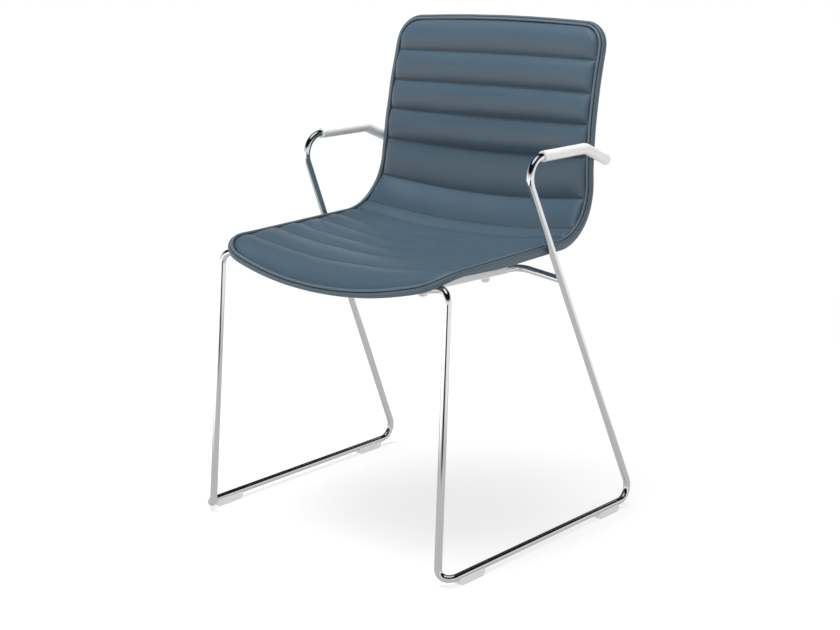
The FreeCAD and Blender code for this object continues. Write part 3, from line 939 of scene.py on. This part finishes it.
@dataclass
class ChannelCushion:
    """The padded front panel, sewn across into channels."""

    form: ShellForm
    channels: tuple[Pair, ...] = (
        (68.0, 3.3), (70.0, 3.3), (52.0, 3.3), (53.0, 3.3), (50.0, 3.3), (54.0, 3.8), (35.0, 3.8),
        (62.0, 8.0), (74.0, 9.0), (59.0, 9.0), (55.0, 9.0), (55.0, 9.0), (61.0, 8.5),
    )
    columns: int = 111
    side_crowding: float = 0.45
    row_step: float = 4.2
    seam_crowding: float = 0.11
    roundness: float = 0.68
    crease: float = 0.9
    under: float = 3.0
    edge_drop: float = 9.0
    edge_roundness: float = 2.2
    groove: float = 2.16
    groove_reach: float = 3.5
    panel_lift: float = 1.2
    ripple_height: float = 0.9
    gather_reach: float = 40.0
    gather_height: float = 1.6
    slack: float = 0.12
    end_slack: float = 1.5
    slack_ripple: float = 4.0
    settled_share: float = 0.7

    def rows(self) -> list[tuple[float, float]]:
        """Lists the rows of the mesh.

        Returns:
            Pairs of the length along the middle and the swell there.
        """
        form = self.form
        result = []
        start = form.front_edge
        last = len(self.channels) - 1
        for index, (width, crown) in enumerate(self.channels):
            end = form.total if index == last else start + width
            count = round((end - start) / self.row_step)
            for step in range(count):
                share = step / count
                share -= self.seam_crowding * math.sin(2 * math.pi * share)
                swell = crown * math.sin(math.pi * share) ** self.roundness
                result.append((start + share * (end - start), swell if step else -self.crease))
            start = end
        result[0] = (form.front_edge, 0.0)
        return result + [(form.total, 0.0)]

    def surface(self, q: float, s: float, swell: float, slack: float = 0.0) -> Vector:
        """Finds a point of the cushion's face.

        Args:
            q: The place across, from -1 to 1.
            s: The length along the middle.
            swell: The channel's swell there.
            slack: How much looser than the sewn form the leather is cut.

        Returns:
            The point in metres.
        """
        form = self.form
        bow = eased(form.bow, s)
        half = form.edge(s + bow)
        x = q * half
        from_edge = half - abs(x)
        shoulder = 1.0 - math.exp(-from_edge / self.edge_drop * self.edge_roundness)
        ends = min(1.0, (s - form.front_edge) / self.edge_drop, (form.total - s) / self.edge_drop)
        rise = (swell * shoulder + self.panel_lift * ends * shoulder
                - self.groove * math.exp(-from_edge / self.groove_reach))
        ripple = noise.noise(Vector((x * 0.012, s * 0.02, 3.1))) * self.ripple_height * shoulder
        near_end = math.exp(-from_edge / self.gather_reach)
        gather = near_end * max(min(swell / 2.0, 1.0), 0.0) * shoulder
        ripple += noise.noise(Vector((x * 0.03, s * 0.09, 5.3))) * self.gather_height * gather
        loose = 1.0 + slack * (1.0 + self.end_slack * near_end)
        return form.point(x, s + bow * q * q, rise * loose + ripple * (1.0 + self.slack_ripple * slack))

    def face(self, rows: list[tuple[float, float]], shares: list[float]) -> list[Vector]:
        """Lays the leather over the foam as cloth.

        Args:
            rows: Pairs of the length along the middle and the swell there.
            shares: The columns' places across, from -1 to 1.

        Returns:
            The face's vertices, row by row.
        """
        sewn = [self.surface(q, s, swell) for s, swell in rows for q in shares]
        slack = [self.surface(q, s, swell, self.slack) for s, swell in rows for q in shares]
        width = len(shares)
        held = []
        for row, (_, swell) in enumerate(rows):
            first, last = row * width, (row + 1) * width - 1
            held += [first, last] if swell > 0.0 else list(range(first, last + 1))
        settled = ClothPanel().relax(sewn, slack, held, grid_faces(len(rows), width))
        return [a.lerp(b, self.settled_share) for a, b in zip(sewn, settled)]

    def build(self, finishes: Finishes) -> bpy.types.Object:
        """Makes the cushion, dresses it and returns it."""
        form = self.form
        rows = self.rows()
        even = [2 * column / (self.columns - 1) - 1 for column in range(self.columns)]
        shares = [q + self.side_crowding * (math.sin(math.pi / 2 * q) - q) for q in even]
        points = self.face(rows, shares)
        for s, _ in rows:
            bow = eased(form.bow, s)
            half = form.edge(s + bow)
            points += [form.point(q * half, s + bow * q * q, -self.under) for q in shares]
        piece = new_object("channel_cushion", points, sheet_faces(len(rows), self.columns))
        place(piece, finishes.leather, "cushion")
        return piece


@dataclass
class Rim:
    """The piping and the leather band round the shell's edge."""

    form: ShellForm
    step: float = 4.0
    piping_radius: float = 2.3
    piping_out: float = 2.6
    piping_lift: float = 0.9
    wander: float = 0.3
    band: tuple[Pair, ...] = (
        (1.0, -2.9), (1.0, -1.6), (4.6, -1.2), (5.4, -0.9), (6.2, 0.0), (7.2, 0.1), (8.4, -0.7),
        (9.4, -2.2), (10.0, -4.4), (10.2, -7.0), (10.1, -9.6), (9.7, -12.0), (9.2, -13.6),
        (8.6, -14.5), (7.4, -14.7), (7.4, -8.0), (7.4, -2.9),
    )

    def ring(self, row: tuple[float, float, float, float], section: list[Pair]) -> list[Vector]:
        """Lays a section at a place on the outline.

        Args:
            row: The place x, s and the outward direction there.
            section: Pairs of the distance out and the lift.

        Returns:
            The section's points.
        """
        x, s, out_x, out_s = row
        depth = eased(self.form.end_depth, s)
        return [self.form.point(x + out * out_x, s + out * out_s, self.form.tapered(lift, depth))
                for out, lift in section]

    def build(self, finishes: Finishes) -> None:
        """Makes the piping and the band and dresses them."""
        outline = self.form.outline(self.step)
        sides = 14
        circle = []
        for index in range(sides):
            turn = 2 * math.pi * index / sides
            circle.append((self.piping_out + self.piping_radius * math.cos(turn),
                           self.piping_lift + self.piping_radius * math.sin(turn)))
        for name, section, material in (("rim_piping", circle, finishes.piping_with_painted_highlight),
                                        ("rim_band_leather", list(self.band)[::-1], finishes.band)):
            points = []
            for row in outline:
                wander = noise.noise(Vector((row[0] * 0.03, row[1] * 0.03, 7.7))) * self.wander
                shifted = [(out + wander, lift + wander * 0.5) for out, lift in section]
                points += self.ring(row, shifted)
            piece = new_object(name, points, ring_faces(len(outline), len(section)))
            place(piece, material, "rim_band")


@dataclass
class RearCover:
    """The leather cover of the shell's rear and underside."""

    form: ShellForm
    margin: float = 6.6
    face: float = -14.5
    hidden: float = -11.6
    tuck: float = 1.6
    tuck_reach: float = 3.5
    rows: int = 150
    columns: int = 81

    def build(self, finishes: Finishes) -> None:
        """Makes the cover as a closed sheet with rounded edges and dresses it."""
        form = self.form
        points = []
        for lift in (self.face, self.hidden):
            for row in range(self.rows):
                share = row / (self.rows - 1)
                length = form.total - form.front_edge + 2 * self.margin
                s = form.front_edge - self.margin + share * length
                bow = eased(form.bow, s)
                half = form.edge(s + bow, self.margin)
                middle = eased(form.middle_depth, s)
                rim = eased(form.end_depth, s + bow)
                for column in range(self.columns):
                    q = 2 * column / (self.columns - 1) - 1
                    nearest = min(half * (1 - abs(q)), min(share, 1 - share) * form.total)
                    tuck = self.tuck * math.exp(-nearest / self.tuck_reach) if lift == self.face else 0.0
                    depth = form.tapered(lift, middle + (rim - middle) * q * q)
                    points.append(form.point(q * half, s + bow * q * q, depth + tuck))
        piece = new_object("rear_cover_leather", points, sheet_faces(self.rows, self.columns, True))
        place(piece, finishes.leather, "rear_cover")


@dataclass
class SledFrame:
    """The chromed rods and the plastic parts on them, kept as the CAD has them."""

    chromed: tuple[str, ...] = ("side_frame_right", "side_frame_left", "cross_rod_front",
                                "cross_rod_rear")
    steel: tuple[str, ...] = ("carrier_screws", "shell_inserts")
    arms: tuple[str, ...] = ("arm_pad_right", "arm_pad_left")
    core: tuple[str, ...] = ("shell_core",)
    carriers: tuple[str, ...] = ("seat_carrier_right", "seat_carrier_left")
    small: tuple[str, ...] = ("glide", "stacking_bumper")

    def build(self, finishes: Finishes) -> None:
        """Dresses every rod, pad, glide, carrier and fastener."""
        for names, material in ((self.chromed, finishes.chrome), (self.steel, finishes.steel),
                                (self.arms, finishes.arm), (self.core, finishes.core),
                                (self.carriers, finishes.plastic)):
            for name in names:
                finishes.dress(name, material)
        for part in self.small:
            for corner in ("front_right", "front_left", "rear_right", "rear_left"):
                finishes.dress(f"{part}_{corner}", finishes.plastic)


# Studio


@dataclass(frozen=True)
class Lamp:
    """A soft rectangular lamp aimed at the chair, in metres and watts."""

    name: str
    spot: tuple[float, float, float]
    size: Pair
    power: float
    aim: tuple[float, float, float] = (0.0, 0.0, 0.45)

    def hang(self) -> None:
        """Puts the lamp into the scene, unseen in reflections."""
        data = bpy.data.lights.new(self.name, "AREA")
        data.shape = "RECTANGLE"
        data.size, data.size_y = self.size
        data.energy = self.power
        made = bpy.data.objects.new(self.name, data)
        bpy.context.scene.collection.objects.link(made)
        made.visible_glossy = False
        made.location = self.spot
        made.rotation_euler = (Vector(self.spot) - Vector(self.aim)).to_track_quat("Z", "Y").to_euler()


@dataclass(frozen=True)
class Studio:
    """The floor, the lamps, the surroundings and the camera."""

    azimuth: float = 40.02
    elevation: float = 13.35
    distance: float = 2.661
    aim: tuple[float, float, float] = (0.0, 0.00958, 0.338)
    lens: float = 67.8
    floor_size: float = 30.0
    visible: Table = ((0.0, 1.0), (1.0, 1.0))
    ambient: Table = ((0.57, 0.95), (0.74, 0.06))
    lamps: tuple[Lamp, ...] = (Lamp("top_softbox", (-0.2, -0.3, 2.6), (1.7, 1.7), 80.0),
                               Lamp("front_fill", (1.2, -2.4, 1.6), (1.6, 1.2), 8.0))
    mirrored: Table = ((0.0, 1.0), (0.23, 0.66), (0.4, 0.006), (0.87, 0.006), (0.94, 0.9))

    def camera(self) -> None:
        """Puts the camera where the photograph was taken from."""
        turn = math.radians(self.azimuth)
        climb = math.radians(self.elevation)
        level = math.cos(climb)
        back = Vector((math.sin(turn) * level, -math.cos(turn) * level, math.sin(climb)))
        data = bpy.data.cameras.new("camera")
        data.lens = self.lens
        data.sensor_width = 36.0
        data.clip_end = 100.0
        eye = bpy.data.objects.new("camera", data)
        bpy.context.scene.collection.objects.link(eye)
        eye.location = Vector(self.aim) + back * self.distance
        eye.rotation_euler = back.to_track_quat("Z", "Y").to_euler()
        bpy.context.scene.camera = eye

    def floor(self) -> None:
        """Lays the pale floor, which glows by itself and keeps the chair's shadow."""
        half = self.floor_size / 2
        piece = new_object("floor", [Vector((-half, -half, 0)), Vector((half, -half, 0)),
                                     Vector((half, half, 0)), Vector((-half, half, 0))], [(0, 1, 2, 3)])
        recipe = Recipe("pale_floor")
        recipe.set("Roughness", 0.9)
        recipe.set("Specular IOR Level", 0.0)
        recipe.set("Emission Color", (1.0, 1.0, 1.0, 1.0))
        glow = recipe.group(FloorGlow(self.azimuth).group())
        recipe.link(glow.outputs["Albedo"], "Base Color")
        recipe.link(glow.outputs["Glow"], "Emission Strength")
        piece.data.materials.append(recipe.material)

    def sky(self, tree: Tree, height: Socket, bands: Table) -> Socket:
        """Adds a grey sky that changes with height.

        Args:
            tree: The world's nodes.
            height: The height in the sky, 0 being the horizon and 1 straight up.
            bands: Pairs of the height and the brightness there.

        Returns:
            The sky's colour.
        """
        shade = tree.nodes.new("ShaderNodeValToRGB")
        stops = shade.color_ramp.elements
        while len(stops) < len(bands):
            stops.new(0.5)
        for stop, (place_up, grey) in zip(stops, bands):
            stop.position = place_up
            stop.color = (grey, grey, grey, 1.0)
        tree.links.new(height, shade.inputs[0])
        return shade.outputs[0]

    def surroundings(self) -> None:
        """Sets the surroundings: white to the camera, with a dark ceiling for light and reflections."""
        world = bpy.data.worlds.new("studio")
        bpy.context.scene.world = world
        world.use_nodes = True
        tree = world.node_tree
        background = next(node for node in tree.nodes if node.type == "BACKGROUND")
        places = tree.nodes.new("ShaderNodeTexCoord")
        split = tree.nodes.new("ShaderNodeSeparateXYZ")
        tree.links.new(places.outputs["Generated"], split.inputs[0])
        path = tree.nodes.new("ShaderNodeLightPath")
        colour = self.sky(tree, split.outputs["Z"], self.ambient)
        for ray, seen in ((Ray.GLOSSY, self.sky(tree, split.outputs["Z"], self.mirrored)),
                          (Ray.CAMERA, self.sky(tree, split.outputs["Z"], self.visible))):
            mix = tree.nodes.new("ShaderNodeMix")
            mix.data_type = "RGBA"
            tree.links.new(path.outputs[ray.value], mix.inputs[0])
            tree.links.new(colour, mix.inputs[6])
            tree.links.new(seen, mix.inputs[7])
            colour = mix.outputs[2]
        tree.links.new(colour, background.inputs["Color"])
        background.inputs["Strength"].default_value = 1.0

    def build(self) -> None:
        """Sets up the whole studio."""
        self.camera()
        self.floor()
        self.surroundings()
        for lamp in self.lamps:
            lamp.hang()
        bpy.context.scene.view_settings.view_transform = "Standard"


def main() -> None:
    """Builds the studio and the chair."""
    logging.basicConfig(level=logging.INFO, format="%(name)s %(message)s")
    Studio().build()
    finishes = Finishes()
    form = ShellForm()
    SledFrame().build(finishes)
    RearCover(form).build(finishes)
    Rim(form).build(finishes)
    ChannelCushion(form).build(finishes)


if __name__ == "__main__":
    main()
